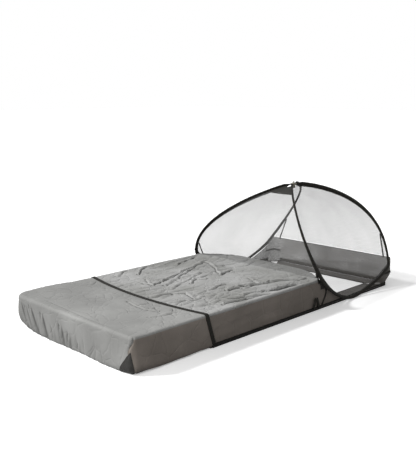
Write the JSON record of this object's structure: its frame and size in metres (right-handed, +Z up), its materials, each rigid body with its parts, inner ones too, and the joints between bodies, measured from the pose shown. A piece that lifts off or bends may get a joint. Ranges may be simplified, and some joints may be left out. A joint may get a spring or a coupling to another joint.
{
  "type": "mosquito net tent",
  "caption": "Pop-up mosquito net for a single bed: a boxed cloth cover for the mattress with a net dome on sprung wire hoops over its head end.",
  "frame": {"origin": "middle of the object's length and width, on the flat face that it rests on", "axes": "+X from the foot end to the head end with the dome, +Y to the far side, +Z up; the zip is on the -Y side"},
  "size_m": [2.0221, 0.9488, 0.6139],
  "materials": {
    "cover_cloth": "grey woven polyester",
    "side_cloth": "dark grey woven polyester",
    "net_skirt": "dark grey net over the mattress side",
    "dark_net": "nearly black net",
    "fine_net": "sheer fine-mesh netting",
    "flap_cloth": "plain dark polyester",
    "binding": "black woven binding tape",
    "sleeve_cloth": "black woven sleeve",
    "webbing": "beige-grey webbing",
    "zip_tape": "black zip tape with moulded coils",
    "pull_plastic": "black moulded pull",
    "spring_steel": "drawn spring wire",
    "dark_zinc": "dark coated metal"
  },
  "bodies": {
    "cover": {"foot_top_panel": "cover_cloth", "foot_end_panel": "cover_cloth", "foot_side_near": "cover_cloth", "foot_side_far": "cover_cloth", "foot_gusset": "dark_net", "middle_top_panel": "cover_cloth", "skirt_near": "side_cloth", "skirt_far": "side_cloth", "corner_skirt_near": "net_skirt", "corner_skirt_far": "net_skirt", "head_end_panel": "net_skirt", "corner_gather_near": "net_skirt", "corner_gather_far": "net_skirt", "cross_tape_top": "binding", "cross_tape_near": "binding", "cross_tape_far": "binding", "hem_tape_near": "binding", "hem_tape_far": "binding", "hem_tape_head": "binding", "under_flap_near": "flap_cloth", "under_flap_far": "flap_cloth", "under_flap_foot": "flap_cloth", "under_flap_head": "flap_cloth", "hem_elastic": "binding", "front_net": "fine_net", "head_net": "fine_net", "apex_patch": "binding", "apex_tie": "webbing", "hang_loop": "webbing", "leg_patch_near": "binding", "leg_patch_far": "binding", "leg_strap_near": "binding", "leg_strap_far": "binding", "corner_strap_near": "binding", "corner_strap_far": "binding", "foot_tie_near": "binding", "foot_tie_far": "binding", "head_tie_near": "binding", "head_tie_far": "binding", "zip_tape_lower": "zip_tape", "zip_tape_upper": "zip_tape", "zip_stop_foot": "dark_zinc", "zip_stop_head": "dark_zinc"},
    "hoop_near": {"wire_near": "spring_steel", "ferrule_near": "dark_zinc", "sleeve_foot_near": "sleeve_cloth", "sleeve_low_near": "sleeve_cloth", "sleeve_head_near": "sleeve_cloth", "side_net_near": "fine_net"},
    "hoop_far": {"wire_far": "spring_steel", "ferrule_far": "dark_zinc", "sleeve_foot_far": "sleeve_cloth", "sleeve_low_far": "sleeve_cloth", "sleeve_head_far": "sleeve_cloth", "side_net_far": "fine_net"},
    "zip_slider_left": {"slider_left": "dark_zinc"},
    "zip_slider_right": {"slider_right": "dark_zinc"},
    "zip_pull_left": {"pull_left": "pull_plastic"},
    "zip_pull_right": {"pull_right": "pull_plastic"}
  },
  "joints": [
    {"name": "hoop_near_swing", "type": "hinge", "parent": "cover", "child": "hoop_near", "pos_m": [0.60494, -0.006, 0.598], "axis": [-1, 0, 0], "range_deg": [0, 50]},
    {"name": "hoop_far_swing", "type": "hinge", "parent": "cover", "child": "hoop_far", "pos_m": [0.60494, 0.006, 0.598], "axis": [1, 0, 0], "range_deg": [0, 50]},
    {"name": "slider_left_slide", "type": "slide", "parent": "cover", "child": "zip_slider_left", "axis": [-1, 0, 0], "range_m": [0, 0.7345]},
    {"name": "slider_right_slide", "type": "slide", "parent": "cover", "child": "zip_slider_right", "axis": [1, 0, 0], "range_m": [0, 0.607]},
    {"name": "pull_left_swing", "type": "hinge", "parent": "zip_slider_left", "child": "zip_pull_left", "pos_m": [0.20194, -0.4575, 0.01], "axis": [0, -1, 0], "range_deg": [0, 109]},
    {"name": "pull_right_swing", "type": "hinge", "parent": "zip_slider_right", "child": "zip_pull_right", "pos_m": [0.25394, -0.4575, 0.01], "axis": [0, 1, 0], "range_deg": [0, 109]}
  ]
}
